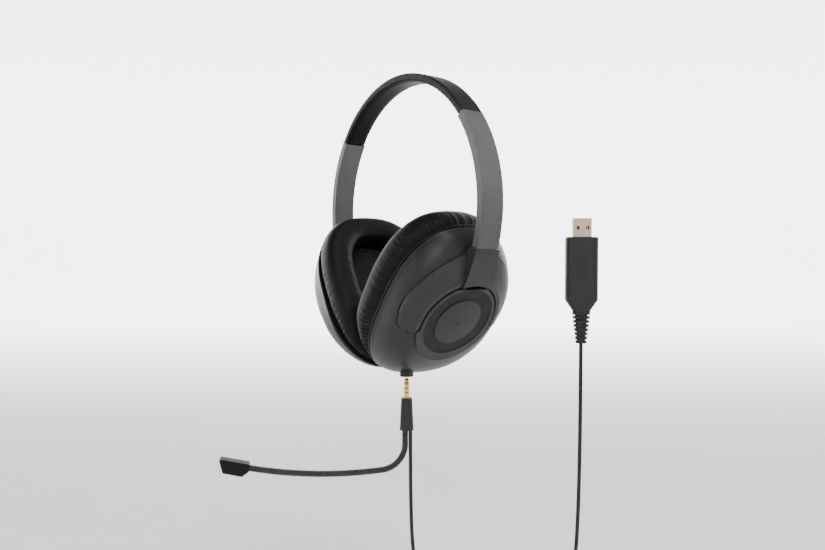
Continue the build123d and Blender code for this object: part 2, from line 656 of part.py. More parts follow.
heading = (cos(radians(BOOM_HEADING)), sin(radians(BOOM_HEADING)), 0)
boom_plane = Plane(
    origin=(JACK_X + BOOM_OFFSET * width_dir[0], JACK_Y + BOOM_OFFSET * width_dir[1], housing_bottom),
    x_dir=heading, z_dir=(heading[1], -heading[0], 0))
bend_centre = (BOOM_BEND_RADIUS, -BOOM_DROP)
bend_end_angle = 180 + BOOM_BEND
bend_end = (bend_centre[0] + BOOM_BEND_RADIUS * cos(radians(bend_end_angle)),
            bend_centre[1] + BOOM_BEND_RADIUS * sin(radians(bend_end_angle)))
sweep_centre = (bend_end[0] - BOOM_SWEEP_RADIUS * cos(radians(bend_end_angle)),
                bend_end[1] - BOOM_SWEEP_RADIUS * sin(radians(bend_end_angle)))


def sweep_point(angle):
    """A point of the boom's long curve, in the boom's plane."""
    return (sweep_centre[0] + BOOM_SWEEP_RADIUS * cos(radians(angle)),
            sweep_centre[1] + BOOM_SWEEP_RADIUS * sin(radians(angle)))


joint_angle = bend_end_angle + BOOM_SWEEP * BOOM_JOINT_SHARE
gap_angle = JOINT_GAP / BOOM_SWEEP_RADIUS * 180 / pi
boom_end_angle = bend_end_angle + BOOM_SWEEP
swing_centre = boom_plane.from_local_coords((0, -BOOM_DROP, 0))
bend_joint = boom_plane.from_local_coords((*sweep_point(joint_angle), 0))
boom_end = boom_plane.from_local_coords((*sweep_point(boom_end_angle), 0))
print("boom swing", tuple(swing_centre), "boom bend", tuple(bend_joint), "end", tuple(boom_end))
print("boom axis", tuple(boom_plane.z_dir))


def ball(centre, radius):
    """A ball of a boom joint."""
    with BuildPart() as made:
        with Locations(tuple(centre)):
            Sphere(radius)
    return made.part


def neck(start, end):
    """The thin neck that carries a ball across a joint's gap."""
    with BuildPart() as made:
        with BuildSketch(Plane(origin=start, z_dir=end - start)):
            Circle(0.8)
        extrude(amount=(end - start).length)
    return made.part


with BuildPart() as gooseneck_root:
    add(upright_cylinder(boom_plane.origin.X, boom_plane.origin.Y, BOOM_RADIUS,
                         housing_bottom - BOOM_DROP + JOINT_GAP, housing_bottom))
    add(upright_cylinder(boom_plane.origin.X, boom_plane.origin.Y, 0.8,
                         housing_bottom - BOOM_DROP, housing_bottom - BOOM_DROP + JOINT_GAP + 0.5))
    add(ball(swing_centre, BALL_RADIUS))
export(gooseneck_root.part, "gooseneck_root")

start_angle = 180 + JOINT_GAP / BOOM_BEND_RADIUS * 180 / pi
with BuildPart() as gooseneck_middle:
    with BuildLine(boom_plane) as middle_path:
        CenterArc(bend_centre, BOOM_BEND_RADIUS, start_angle, bend_end_angle - start_angle)
        CenterArc(sweep_centre, BOOM_SWEEP_RADIUS, bend_end_angle, joint_angle - gap_angle - bend_end_angle)
    with BuildSketch(Plane(origin=middle_path.line @ 0, z_dir=middle_path.line % 0)):
        Circle(BOOM_RADIUS)
    sweep()
    add(ball(swing_centre, BALL_RADIUS + BALL_CLEARANCE), mode=Mode.SUBTRACT)
    add(neck(middle_path.line @ 1 - (middle_path.line % 1) * 0.5, bend_joint))
    add(ball(bend_joint, BALL_RADIUS))
export(gooseneck_middle.part, "gooseneck_middle")

with BuildPart() as gooseneck_tip:
    with BuildLine(boom_plane) as tip_path:
        CenterArc(sweep_centre, BOOM_SWEEP_RADIUS, joint_angle + gap_angle,
                  boom_end_angle - joint_angle - gap_angle)
    with BuildSketch(Plane(origin=tip_path.line @ 0, z_dir=tip_path.line % 0)):
        Circle(BOOM_RADIUS)
    sweep()
    add(ball(bend_joint, BALL_RADIUS + BALL_CLEARANCE), mode=Mode.SUBTRACT)
export(gooseneck_tip.part, "gooseneck_tip")

# The capsule's side view: first axis along the boom's end, second square to it.
capsule_plane = Plane(origin=boom_end, x_dir=boom_plane.from_local_coords(
    (*sweep_point(boom_end_angle + 1), 0)) - boom_end, z_dir=boom_plane.z_dir)


def capsule_half(offset_from, offset_to):
    """One moulded half of the microphone's capsule, with room for the element."""
    with BuildPart() as half:
        with BuildSketch(capsule_plane.offset(offset_from)) as side_view:
            with BuildLine():
                Polyline(*CAPSULE_OUTLINE, close=True)
            make_face()
            fillet(side_view.vertices(), 1.2)
        extrude(amount=offset_to - offset_from)
        with BuildSketch(capsule_plane.offset(-2.4)):
            with Locations((10.5, -1.0)):
                Circle(3.15)
        extrude(amount=4.8, mode=Mode.SUBTRACT)
    return half.part


export(capsule_half(0.0, CAPSULE_WIDTH / 2), "capsule_outer")
export(capsule_half(-CAPSULE_WIDTH / 2, 0.0), "capsule_inner")
with BuildPart() as mic_element:
    with BuildSketch(capsule_plane.offset(-2.2)):
        with Locations((10.5, -1.0)):
            Circle(3.0)
    extrude(amount=4.4)
export(mic_element.part, "mic_element")

# ---------------------------------------------------------------- USB plug

shell_bottom = USB_TOP_Z - USB_SHELL_LENGTH
straight_bottom = shell_bottom - USB_BODY_STRAIGHT
neck_z = straight_bottom - USB_BODY_TAPER
relief_bottom = neck_z - RELIEF_LENGTH


def usb_plane(z):
    """A level plane on the USB plug's axis."""
    return turned_plane(USB_X, USB_Y, z)


with BuildPart() as usb_shell:
    with BuildSketch(usb_plane(shell_bottom - 4)):
        RectangleRounded(USB_SHELL_WIDTH, USB_SHELL_HEIGHT, 0.6)
        RectangleRounded(USB_SHELL_WIDTH - 2 * USB_SHELL_WALL, USB_SHELL_HEIGHT - 2 * USB_SHELL_WALL, 0.3,
                         mode=Mode.SUBTRACT)
    extrude(amount=USB_SHELL_LENGTH + 4)
    with Locations(usb_plane(USB_TOP_Z - 6.2)):
        with Locations((-3.2, 0), (3.2, 0)):
            Box(2.3, 10, 2.3, mode=Mode.SUBTRACT)
export(usb_shell.part, "usb_shell")

with BuildPart() as usb_tongue:
    with BuildSketch(usb_plane(shell_bottom - 4)):
        with Locations((0, 0.9)):
            Rectangle(11.2, 1.9)
    extrude(amount=USB_SHELL_LENGTH + 2.8)
export(usb_tongue.part, "usb_tongue")

with BuildPart() as usb_contacts:
    with BuildSketch(usb_plane(shell_bottom - 3)):
        with Locations((-3.5, -0.17), (-1.0, -0.17), (1.0, -0.17), (3.5, -0.17)):
            Rectangle(1.0, 0.2)
    extrude(amount=USB_SHELL_LENGTH + 0.6)
export(usb_contacts.part, "usb_contacts")


def usb_body(half):
    """One moulded half of the plug's body; half is -1 for the front, 1 for the back."""
    depth = USB_BODY_DEPTH
    wall = 2 * USB_BODY_WALL
    with BuildPart() as body:
        with BuildSketch(usb_plane(straight_bottom)):
            RectangleRounded(USB_BODY_WIDTH, depth, 3.2)
        extrude(amount=USB_BODY_STRAIGHT)
        top = body.faces().sort_by(Axis.Z)[-1]
        fillet(top.edges(), 1.2)
        with BuildSketch(usb_plane(straight_bottom)):
            RectangleRounded(USB_BODY_WIDTH, depth, 3.2)
        with BuildSketch(usb_plane(neck_z)):
            RectangleRounded(USB_NECK_WIDTH, depth - 1.2, 3.2)
        loft()
        with BuildSketch(usb_plane(straight_bottom + 1)):
            RectangleRounded(USB_BODY_WIDTH - wall, depth - wall, 2.0)
        extrude(amount=USB_BODY_STRAIGHT - 5, mode=Mode.SUBTRACT)
        with BuildSketch(usb_plane(shell_bottom - 4.5)):
            RectangleRounded(USB_SHELL_WIDTH + 0.1, USB_SHELL_HEIGHT + 0.1, 0.6)
        extrude(amount=10, mode=Mode.SUBTRACT)
        with BuildSketch(usb_plane(neck_z - 1)):
            with Locations((0, -half * 20)):
                Rectangle(60, 40)
        extrude(amount=60, mode=Mode.SUBTRACT)
    return body.part


export(usb_body(-1), "usb_body_front")
export(usb_body(1), "usb_body_back")

with BuildPart() as usb_board:
    with BuildSketch(usb_plane(straight_bottom + 3)):
        Rectangle(14.0, 1.0)
    extrude(amount=30)
    with BuildSketch(usb_plane(straight_bottom + 14)):
        with Locations((0, -0.95)):
            Rectangle(6.0, 0.9)
    extrude(amount=6)
export(usb_board.part, "usb_board")

rib_pitch = (RELIEF_LENGTH - 2.6) / RELIEF_RIBS
with BuildPart() as strain_relief:
    with BuildSketch(usb_plane(relief_bottom)):
        RectangleRounded(5.2, 4.8, 2.2)
    with BuildSketch(usb_plane(neck_z)):
        RectangleRounded(8.2, 6.6, 2.6)
    loft()
    for rib in range(RELIEF_RIBS):
        share = rib / (RELIEF_RIBS - 1)
        with BuildSketch(usb_plane(relief_bottom + rib * rib_pitch)):
            RectangleRounded(7.0 + 3.7 * share, 6.0 + 2.2 * share, 2.6)
        extrude(amount=rib_pitch * 0.62)
    with BuildSketch(usb_plane(neck_z - 2.6)):
        RectangleRounded(USB_NECK_WIDTH, USB_BODY_DEPTH - 1.2, 3.2)
    extrude(amount=2.6)
export(strain_relief.part, "strain_relief")

# ---------------------------------------------------------------- cord and its hank

cord_x = JACK_X + CORD_OFFSET * width_dir[0]
cord_y = JACK_Y + CORD_OFFSET * width_dir[1]
span = sqrt((USB_X - cord_x) ** 2 + (USB_Y - cord_y) ** 2)
hank_dir = ((USB_X - cord_x) / span, (USB_Y - cord_y) / span, 0)
hank_margin = (span - HANK_LENGTH) / 2


def along_hank(distance, z):
    """A point above or on the line between the cord's two hanging stretches."""
    return Vector(cord_x + hank_dir[0] * distance, cord_y + hank_dir[1] * distance, z)


def cord_tube(points):
    """Straight runs joined by arcs, each as large as its two runs allow."""
    radii = []
    for before, corner, after in zip(points, points[1:], points[2:]):
        run = min((corner - before).length, (after - corner).length)
        turn = (corner - before).get_angle(after - corner)
        radii.append(0.45 * run / tan(radians(turn) / 2))
    with BuildPart() as tube:
        with BuildLine() as path:
            FilletPolyline(*points, radius=radii)
        with BuildSketch(Plane(origin=points[0], z_dir=points[1] - points[0])):
            Circle(CORD_DIAMETER / 2)
        sweep()
    section = pi * CORD_DIAMETER ** 2 / 4
    print("cord radii", [round(radius, 1) for radius in radii], "length", round(path.wire().length, 1),
          "volume over section", round(tube.part.volume / section, 1))
    return tube.part


mic_route = [along_hank(0, housing_bottom)]
mic_route += [along_hank(inward, z) for inward, z in MIC_CORD_HANG]
mic_route += [along_hank(hank_margin, HANK_Z)]
usb_route = [along_hank(span, relief_bottom)]
usb_route += [along_hank(span - inward, z) for inward, z in USB_CORD_HANG]
usb_route += [along_hank(span - hank_margin, HANK_Z)]
export(cord_tube(mic_route), "mic_cord")
export(cord_tube(usb_route), "usb_cord")

with BuildPart() as cord_hank:
    with BuildSketch(Plane(origin=along_hank(span / 2, HANK_Z), x_dir=hank_dir,
                           z_dir=(hank_dir[1], -hank_dir[0], 0))):
        with Locations((0, HANK_RISE - HANK_HEIGHT / 2)):
            RectangleRounded(HANK_LENGTH, HANK_HEIGHT, 6.0)
    extrude(amount=HANK_THICKNESS / 2, both=True)
export(cord_hank.part, "cord_hank")
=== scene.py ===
import json
import math

import bmesh
import bpy
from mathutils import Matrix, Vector, noise


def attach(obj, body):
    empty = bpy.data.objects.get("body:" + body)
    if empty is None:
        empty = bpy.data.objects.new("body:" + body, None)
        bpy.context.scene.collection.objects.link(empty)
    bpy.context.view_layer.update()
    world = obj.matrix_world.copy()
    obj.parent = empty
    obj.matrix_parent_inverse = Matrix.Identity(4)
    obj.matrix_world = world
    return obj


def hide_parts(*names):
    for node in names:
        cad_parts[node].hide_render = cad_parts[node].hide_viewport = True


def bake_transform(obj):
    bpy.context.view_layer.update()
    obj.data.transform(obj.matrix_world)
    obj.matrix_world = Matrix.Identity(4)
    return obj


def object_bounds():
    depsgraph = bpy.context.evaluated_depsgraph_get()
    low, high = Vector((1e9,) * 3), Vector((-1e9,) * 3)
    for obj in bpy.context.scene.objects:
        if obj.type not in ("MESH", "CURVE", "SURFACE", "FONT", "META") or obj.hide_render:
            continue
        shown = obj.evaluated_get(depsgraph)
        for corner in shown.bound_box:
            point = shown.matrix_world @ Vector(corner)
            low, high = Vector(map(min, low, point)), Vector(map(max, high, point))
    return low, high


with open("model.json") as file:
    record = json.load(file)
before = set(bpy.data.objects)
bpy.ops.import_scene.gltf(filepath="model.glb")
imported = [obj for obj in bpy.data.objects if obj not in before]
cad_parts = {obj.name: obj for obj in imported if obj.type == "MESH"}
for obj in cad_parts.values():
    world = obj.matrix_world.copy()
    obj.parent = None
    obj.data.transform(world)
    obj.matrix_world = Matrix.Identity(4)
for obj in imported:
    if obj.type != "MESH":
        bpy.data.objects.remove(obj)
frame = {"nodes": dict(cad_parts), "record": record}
cad_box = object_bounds()
nodes = frame["nodes"]

# Everything is in metres, in the row's frame: +X is the wearer's left, -Y the front, +Z up.

# ---- Sizes that the soft pieces share with the CAD model ----
CUP_TILT = math.radians(33.8)
CUP_FACE = Vector((0.0596, 0.0, -0.1641))
CUP_OUT = Vector((math.cos(CUP_TILT), 0.0, -math.sin(CUP_TILT)))
CUP_UP = Vector((math.sin(CUP_TILT), 0.0, math.cos(CUP_TILT)))
MIDDLE_GAP = 0.0031
CUSHION_OUTER = (0.0479, 0.0579, -0.0598)
CUSHION_INNER = (0.0256, 0.0381, -0.0361)
CUSHION_BASE = 0.0272
RIM_LINE_LEVEL = 0.0215
RIM_LINE_HALF_WIDTH = 0.0003
CUSHION_FACE = 0.0495
OUTLINE_SQUARENESS = 2.6
OUTLINE_TAPER = 0.05

BAND_CENTRE_Z = -0.0878
PAD_INNER = 0.0878
PAD_OUTER = 0.08943
PAD_END = math.radians(38.15)
PAD_HALF_WIDTH = 0.0083

JACK = Vector((0.0215, -0.014, 0.0))
HOUSING_BOTTOM = -0.2403
FACE_TURN = math.radians(54.6)
WIDTH_DIR = Vector((math.cos(FACE_TURN), math.sin(FACE_TURN), 0.0))
BOOM_OFFSET = -0.0011
BOOM_HEADING = math.radians(246.5)
SLEEVE_RADIUS = 0.0023
BOOM_DROP = 0.0097
BOOM_BEND_RADIUS = 0.017
BOOM_BEND = math.radians(86.0)
BOOM_SWEEP_RADIUS = 0.300
BOOM_SWEEP = math.radians(17.0)

CORD_DIAMETER = 0.0026
CORD_OFFSET = 0.0026
USB_AXIS = Vector((0.1068, 0.064, 0.0))
RELIEF_BOTTOM = -0.1775
HANK_Z = -0.347
HANK_LENGTH = 0.076
# Each hanging stretch: how far it has come in towards the hank, and its height.
MIC_CORD_HANG = ((0.0, -0.268), (0.0004, -0.297), (0.0014, -0.321), (0.0042, -0.337), (0.0104, -0.3456))
USB_CORD_HANG = ((0.0, -0.215), (0.0003, -0.255), (0.001, -0.290), (0.0024, -0.318), (0.0048, -0.336),
                 (0.0106, -0.3454))
STRAND_PITCH = 0.0028

# The background's own light, and how far behind the headset it begins and is full.
GLOW = 3.6
GLOW_FROM = 0.3
GLOW_TO = 2.2
ROOM_LIGHT = 0.10
LIT_PLACE = (0.0, 0.0, -0.12)

# ---------------------------------------------------------------- camera

CAMERA_AT = Vector((0.4054, -0.2819, -0.1199))
CAMERA_TARGET = Vector((0.00292, 0.00411, -0.1350))
camera_data = bpy.data.cameras.new("camera")
camera_data.lens = 30.02
camera_data.sensor_width = 36.0
camera_data.clip_start = 0.01
camera = bpy.data.objects.new("camera", camera_data)
camera.location = CAMERA_AT
camera.rotation_euler = (CAMERA_TARGET - CAMERA_AT).to_track_quat("-Z", "Y").to_euler()
bpy.context.scene.collection.objects.link(camera)
bpy.context.scene.camera = camera


# ---------------------------------------------------------------- materials

class Shader:
    """A material with a Principled shader and a few helpers for its nodes."""

    def __init__(self, name, roughness=0.5, metallic=0.0, specular=0.5):
        self.material = bpy.data.materials.new(name)
        self.material.use_nodes = True
        self.tree = self.material.node_tree
        self.bsdf = self.tree.nodes["Principled BSDF"]
        self.bsdf.inputs["Roughness"].default_value = roughness
        self.bsdf.inputs["Metallic"].default_value = metallic
        self.bsdf.inputs["Specular IOR Level"].default_value = specular
        self.place = self.node("ShaderNodeTexCoord").outputs["Object"]

    def node(self, kind, **settings):
        made = self.tree.nodes.new(kind)
        for key, value in settings.items():
            setattr(made, key, value)
        return made

    def link(self, source, target):
        self.tree.links.new(source, target)

    def noise(self, scale, detail=3.0, roughness=0.55, stretch=None):
        """Noise over the object's place, whose scale is in waves per metre."""
        place = self.place
        if stretch:
            mapping = self.node("ShaderNodeMapping")
            mapping.inputs["Scale"].default_value = stretch
            self.link(place, mapping.inputs["Vector"])
            place = mapping.outputs["Vector"]
        made = self.node("ShaderNodeTexNoise")
        made.inputs["Scale"].default_value = scale
        made.inputs["Detail"].default_value = detail
        made.inputs["Roughness"].default_value = roughness
        self.link(place, made.inputs["Vector"])
        return made.outputs["Fac"]

    def cells(self, scale, feature="F1"):
        """Cells over the object's place, as a distance."""
        made = self.node("ShaderNodeTexVoronoi", feature=feature)
        made.inputs["Scale"].default_value = scale
        self.link(self.place, made.inputs["Vector"])
        return made.outputs["Distance"]

    def ramp(self, value, stops):
        """A colour ramp over a value; each stop is a position and a colour."""
        made = self.node("ShaderNodeValToRGB")
        made.color_ramp.elements[0].position = stops[0][0]
        made.color_ramp.elements[0].color = (*stops[0][1], 1.0)
        made.color_ramp.elements[1].position = stops[-1][0]
        made.color_ramp.elements[1].color = (*stops[-1][1], 1.0)
        for position, colour in stops[1:-1]:
            made.color_ramp.elements.new(position).color = (*colour, 1.0)
        self.link(value, made.inputs["Fac"])
        return made.outputs["Color"]

    def spread(self, value, low, high):
        """A value between two limits, from one between 0 and 1."""
        made = self.node("ShaderNodeMapRange")
        made.inputs["To Min"].default_value = low
        made.inputs["To Max"].default_value = high
        self.link(value, made.inputs["Value"])
        return made.outputs["Result"]

    def maths(self, operation, first, second):
        """A Math node over two values, either of which may be a number."""
        made = self.node("ShaderNodeMath", operation=operation)
        for socket, value in zip(made.inputs, (first, second)):
            if isinstance(value, (int, float)):
                socket.default_value = value
            else:
                self.link(value, socket)
        return made.outputs["Value"]

    def bump(self, height, distance, strength=1.0, under=None):
        """A bump from a height, over an earlier bump if there is one."""
        made = self.node("ShaderNodeBump")
        made.inputs["Strength"].default_value = strength
        made.inputs["Distance"].default_value = distance
        self.link(height, made.inputs["Height"])
        if under:
            self.link(under, made.inputs["Normal"])
        return made.outputs["Normal"]

    def finish(self, colour=None, roughness=None, normal=None, **scalars):
        """Joins what is given to the Principled shader and returns the material."""
        if colour:
            self.link(colour, self.bsdf.inputs["Base Color"])
        if roughness:
            self.link(roughness, self.bsdf.inputs["Roughness"])
        if normal:
            self.link(normal, self.bsdf.inputs["Normal"])
        for key, value in scalars.items():
            self.bsdf.inputs[key.replace("_", " ")].default_value = value
        return self.material


def shade(colour, factor):
    """A colour made lighter or darker."""
    return tuple(min(1.0, part * factor) for part in colour)


def darker_below(shader, tone, top, bottom, least):
    """Painted shade: a tone that falls to a share of itself between two heights, darker towards the bottom.
    """
    parts = shader.node("ShaderNodeSeparateXYZ")
    shader.link(shader.place, parts.inputs["Vector"])
    share = shader.node("ShaderNodeMapRange")
    for socket, value in (("From Min", bottom), ("From Max", top), ("To Min", least), ("To Max", 1.0)):
        share.inputs[socket].default_value = value
    shader.link(parts.outputs["Z"], share.inputs["Value"])
    scaled = shader.node("ShaderNodeVectorMath", operation="SCALE")
    shader.link(tone, scaled.inputs[0])
    shader.link(share.outputs["Result"], scaled.inputs["Scale"])
    return scaled.outputs["Vector"]


def rim_line(shader):
    """1 along a fine line just inside a cup's rim, on either side of the head, and 0 elsewhere."""
    mirrored = shader.node("ShaderNodeVectorMath", operation="ABSOLUTE")
    shader.link(shader.place, mirrored.inputs[0])
    parts = shader.node("ShaderNodeSeparateXYZ")
    shader.link(mirrored.outputs["Vector"], parts.inputs["Vector"])
    across = shader.maths("MULTIPLY", parts.outputs["X"], CUP_OUT.x)
    below = shader.maths("MULTIPLY", parts.outputs["Z"], -CUP_OUT.z)
    reach = shader.maths("ADD", across, below)
    offset = shader.maths("SUBTRACT", reach, CUP_FACE.dot(CUP_OUT) - RIM_LINE_LEVEL)
    return shader.maths("LESS_THAN", shader.maths("ABSOLUTE", offset, 0.0), RIM_LINE_HALF_WIDTH)


GRAIN_SCALE = 2600.0
GLOSS_SPREAD = 0.06
RIM_LINE_DEPTH = 0.0003
# Near-black painted shade for the fine groove just inside a cup's rim.
RIM_GROOVE_SHADE = (0.002, 0.002, 0.002, 1.0)


def moulded(name, colour, rough, grain=0.00004, specular=0.28, painted_shade=None, rim=False):
    """Injection-moulded plastic: a fine spark-eroded grain, faint clouding and rubbed patches; where asked,
    painted shade darker towards the bottom and a rim groove painted near-black as painted shade.
    """
    shader = Shader(name, specular=specular)
    cloud = shader.noise(38.0, detail=4.0)
    rubbed = shader.noise(160.0, detail=5.0, roughness=0.65)
    tone = shader.ramp(cloud, [(0.3, shade(colour, 0.9)), (0.55, colour), (0.75, shade(colour, 1.1))])
    gloss = shader.spread(rubbed, rough - GLOSS_SPREAD, rough + GLOSS_SPREAD)
    fine = shader.bump(shader.noise(GRAIN_SCALE, detail=2.0), grain, 0.55)
    waves = shader.bump(shader.noise(90.0, detail=1.0), 0.00006, 0.12, under=fine)
    # Painted shade: the tone darkens towards the bottom of the part.
    if painted_shade:
        tone = darker_below(shader, tone, *painted_shade)
    if rim:
        # Painted shade: the line just inside the rim is painted near-black, and the bump cuts it in as a
        # fine groove.
        line = rim_line(shader)
        dark = shader.node("ShaderNodeMix", data_type="RGBA")
        shader.link(line, dark.inputs["Factor"])
        shader.link(tone, dark.inputs["A"])
        dark.inputs["B"].default_value = RIM_GROOVE_SHADE
        tone = dark.outputs["Result"]
        waves = shader.bump(line, -RIM_LINE_DEPTH, 0.8, under=waves)
    return shader.finish(tone, gloss, waves)


def soft_skin(name, colour, rough, sheen):
    """Thin soft leatherette over foam: pores, fine creases and a little nap."""
    shader = Shader(name, specular=0.16)
    pores = shader.cells(1500.0)
    creases = shader.cells(420.0, feature="DISTANCE_TO_EDGE")
    cloud = shader.noise(60.0, detail=5.0, roughness=0.6)
    tone = shader.ramp(cloud, [(0.3, shade(colour, 0.75)), (0.6, colour), (0.8, shade(colour, 1.35))])
    gloss = shader.spread(shader.noise(300.0, detail=4.0), rough - 0.08, rough + 0.08)
    first = shader.bump(creases, 0.00012, 0.25)
    second = shader.bump(pores, 0.00006, 0.4, under=first)
    return shader.finish(tone, gloss, second, Sheen_Weight=sheen, Sheen_Roughness=0.45,
                         Sheen_Tint=(0.5, 0.5, 0.5, 1.0))


def woven(name, colour, pitch):
    """Open acoustic cloth: two crossed sets of threads over black."""
    shader = Shader(name, roughness=0.85, specular=0.2)
    heights = []
    for direction in ("Y", "Z"):
        wave = shader.node("ShaderNodeTexWave", bands_direction=direction)
        wave.inputs["Scale"].default_value = 0.32 / pitch
        wave.inputs["Distortion"].default_value = 0.4
        shader.link(shader.place, wave.inputs["Vector"])
        heights.append(wave.outputs["Fac"])
    threads = shader.maths("MAXIMUM", heights[0], heights[1])
    tone = shader.ramp(threads, [(0.35, shade(colour, 0.15)), (0.7, colour), (1.0, shade(colour, 1.6))])
    return shader.finish(tone, None, shader.bump(threads, 0.00018, 0.8), Sheen_Weight=0.15)


def rubbery(name, colour, rough):
    """Soft overmoulded rubber or cord jacket: matt, with dust-fine mottling."""
    shader = Shader(name, specular=0.3)
    cloud = shader.noise(120.0, detail=5.0)
    tone = shader.ramp(cloud, [(0.3, shade(colour, 0.85)), (0.7, shade(colour, 1.2))])
    gloss = shader.spread(shader.noise(700.0, detail=3.0), rough - 0.07, rough + 0.07)
    return shader.finish(tone, gloss, shader.bump(shader.noise(3200.0), 0.00003, 0.5))


def brushed(name, colour, rough, stretch):
    """Metal with drawn lines along one direction and faint handling marks."""
    shader = Shader(name, metallic=1.0)
    lines = shader.noise(900.0, detail=3.0, stretch=stretch)
    marks = shader.noise(140.0, detail=5.0, roughness=0.7)
    tone = shader.ramp(marks, [(0.3, shade(colour, 0.85)), (0.6, colour), (0.8, shade(colour, 1.05))])
    gloss = shader.spread(lines, rough - 0.08, rough + 0.12)
    return shader.finish(tone, gloss, shader.bump(lines, 0.00001, 0.4))


def board_green(name):
    """A circuit board's solder mask, with paler lines where the copper traces run beneath."""
    shader = Shader(name, roughness=0.35)
    traces = shader.node("ShaderNodeTexBrick")
    traces.inputs["Scale"].default_value = 260.0
    traces.inputs["Mortar Size"].default_value = 0.08
    traces.inputs["Color1"].default_value = (0.012, 0.10, 0.035, 1.0)
    traces.inputs["Color2"].default_value = (0.016, 0.12, 0.045, 1.0)
    traces.inputs["Mortar"].default_value = (0.05, 0.16, 0.06, 1.0)
    shader.link(shader.place, traces.inputs["Vector"])
    return shader.finish(traces.outputs["Color"], None, shader.bump(traces.outputs["Fac"], 0.00003, 0.5))


ARM_GREY = (0.115, 0.114, 0.110)
SHELL_GREY = (0.0175, 0.0173, 0.0166)
finishes = {
    "spring_steel": brushed("blued_spring_steel", (0.30, 0.31, 0.33), 0.32, (0.05, 1.0, 1.0)),
    "crown_plastic": moulded("crown_plastic", (0.0045, 0.0044, 0.0043), 0.55, specular=0.2),
    "head_pad": soft_skin("head_pad_skin", (0.003, 0.003, 0.003), 0.62, 0.01),
    "cord_jacket": rubbery("cord_jacket", (0.011, 0.011, 0.0115), 0.42),
    # The arms' grey darkens towards their lower ends as painted shade.
    "arm_plastic": moulded("arm_plastic", ARM_GREY, 0.42, painted_shade=(-0.04, -0.12, 0.62)),
    "screw_steel": brushed("black_zinc_steel", (0.06, 0.06, 0.06), 0.4, (1.0, 1.0, 0.1)),
    "shell_plastic": moulded("shell_plastic", SHELL_GREY, 0.36, rim=True),
    # The yokes' grey darkens towards the bottom as painted shade.
    "yoke_plastic": moulded("yoke_plastic", shade(SHELL_GREY, 1.6), 0.38, painted_shade=(-0.125, -0.16, 0.75)),
    "trim_plastic": moulded("trim_plastic", (0.004, 0.004, 0.004), 0.6, grain=0.00006),
    "cap_plastic": moulded("cap_plastic", (0.019, 0.0188, 0.0182), 0.48),
    "inner_plastic": moulded("inner_plastic", (0.012, 0.012, 0.012), 0.55),
    "diaphragm_film": soft_skin("diaphragm_film", (0.16, 0.15, 0.13), 0.3, 0.0),
    "screen_cloth": woven("screen_cloth", (0.012, 0.012, 0.012), 0.0006),
    "cushion_velour": soft_skin("cushion_skin", (0.0035, 0.0035, 0.0035), 0.50, 0.02),
    "gold_contact": brushed("gold_plate", (0.80, 0.53, 0.13), 0.24, (1.0, 1.0, 0.2)),
    "plug_rubber": rubbery("plug_rubber", (0.016, 0.016, 0.0168), 0.5),
    "gooseneck_rubber": rubbery("gooseneck_rubber", (0.022, 0.022, 0.022), 0.28),
    "capsule_plastic": moulded("capsule_plastic", (0.010, 0.010, 0.0103), 0.6, grain=0.00008,
                               specular=0.12),
    "element_metal": brushed("element_can", (0.62, 0.62, 0.60), 0.28, (1.0, 0.2, 1.0)),
    "usb_steel": brushed("usb_steel", (0.66, 0.53, 0.42), 0.36, (1.0, 1.0, 0.06)),
    "circuit_board": board_green("circuit_board"),
}

SOFTENED_ANGLE = math.radians(35)
EDGE_SOFTENING = {"arm_plastic": 0.00035, "yoke_plastic": 0.0005, "shell_plastic": 0.0004,
                  "trim_plastic": 0.0003, "crown_plastic": 0.0003, "plug_rubber": 0.0003,
                  "capsule_plastic": 0.0004, "usb_steel": 0.00012}


def finish_nodes():
    """Gives every CAD node its slot's material and softens the moulded edges.

    The yoke forks share the arms' slot, but have a finish that is nearer to the shells': the shells' grey
    made lighter, darkening towards the bottom as painted shade.
    """
    for part in frame["record"]["subparts"]:
        thing = nodes[part["node"]]
        thing.data.materials.clear()
        look = "yoke_plastic" if part["node"].endswith("yoke_fork") else part["material_slot"]
        thing.data.materials.append(finishes[look])
        width = EDGE_SOFTENING.get(look)
        if width:
            bevel = thing.modifiers.new("softened_edges", "BEVEL")
            bevel.width = width
            bevel.segments = 2
            bevel.limit_method = "ANGLE"
            bevel.angle_limit = SOFTENED_ANGLE
            bevel.use_clamp_overlap = True
            bevel.harden_normals = True


# ---------------------------------------------------------------- mesh helpers

def shade_smooth(mesh):
    for face in mesh.polygons:
        face.use_smooth = True


def new_piece(name, mesh, slot_name, body):
    """Links a mesh as a piece with its slot's material, riding on a body unless that is None."""
    piece = bpy.data.objects.new(name, mesh)
    bpy.context.scene.collection.objects.link(piece)
    mesh.materials.append(finishes[slot_name])
    shade_smooth(mesh)
    if body:
        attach(piece, body)
    return piece


def grid_mesh(name, rings, close_rings=True, cap_ends=False):
    """A mesh through rings of points.

    Each ring is closed. The last ring joins the first, or the row of rings ends open or in caps.
    """
    count = len(rings[0])
    points = [point for ring in rings for point in ring]
    faces = []
    last = len(rings) if close_rings else len(rings) - 1
    for i in range(last):
        here = i * count
        there = (i + 1) % len(rings) * count
        for j in range(count):
            after = (j + 1) % count
            faces.append((here + j, here + after, there + after, there + j))
    if cap_ends:
        end = (len(rings) - 1) * count
        faces.append(tuple(reversed(range(count))))
        faces.append(tuple(end + j for j in range(count)))
    mesh = bpy.data.meshes.new(name)
    mesh.from_pydata([tuple(point) for point in points], [], faces)
    outward = bmesh.new()
    outward.from_mesh(mesh)
    bmesh.ops.recalc_face_normals(outward, faces=outward.faces)
    outward.to_mesh(mesh)
    outward.free()
    return mesh


def signed_power(value, power):
    return math.copysign(abs(value) ** power, value)


def smoothstep(low, high, value):
    share = min(1.0, max(0.0, (value - low) / (high - low)))
    return share * share * (3 - 2 * share)


